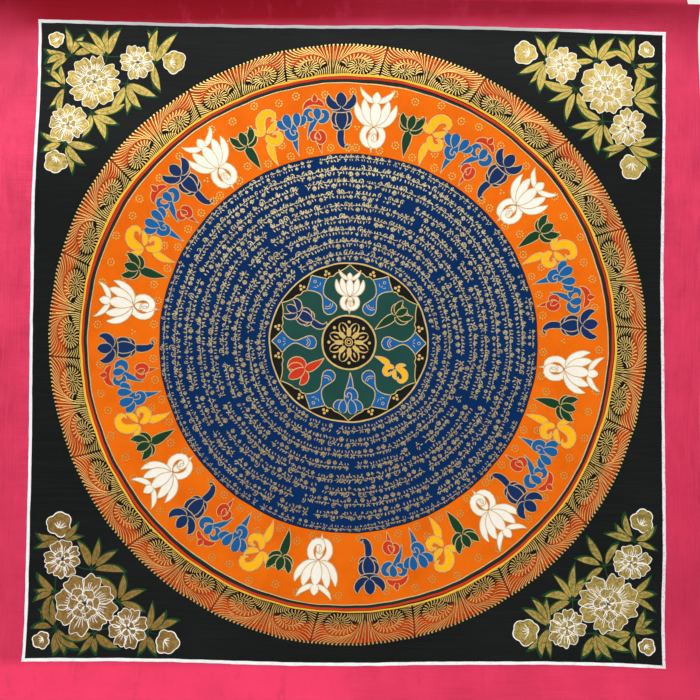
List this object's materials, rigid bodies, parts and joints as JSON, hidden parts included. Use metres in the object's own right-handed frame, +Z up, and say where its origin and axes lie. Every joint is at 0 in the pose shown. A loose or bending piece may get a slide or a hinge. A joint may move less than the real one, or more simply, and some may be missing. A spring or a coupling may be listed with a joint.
{
  "type": "painted canvas wall hanging",
  "caption": "Square hanging of primed cotton canvas, hand painted with a round mandala on black, flower sprays in the corners and a plain crimson margin.",
  "frame": {"origin": "middle of the top edge, where the cloth is held", "axes": "+Z up along the hanging cloth, -Y out of the painted face, +X to the right seen from the front"},
  "size_m": [0.5697, 0.0196, 0.5672],
  "materials": {
    "crimson_margin": "brushed matt paint on cotton, with a fine weave showing through",
    "black_ground": "black paint on cotton, with a faint sheen",
    "bright_paint": "opaque mineral paint in orange, blue, green, red, yellow and white",
    "gold_paint": "satin metallic gold paint, slightly raised"
  },
  "bodies": {
    "root": {"painted_canvas": "crimson_margin"}
  },
  "joints": []
}
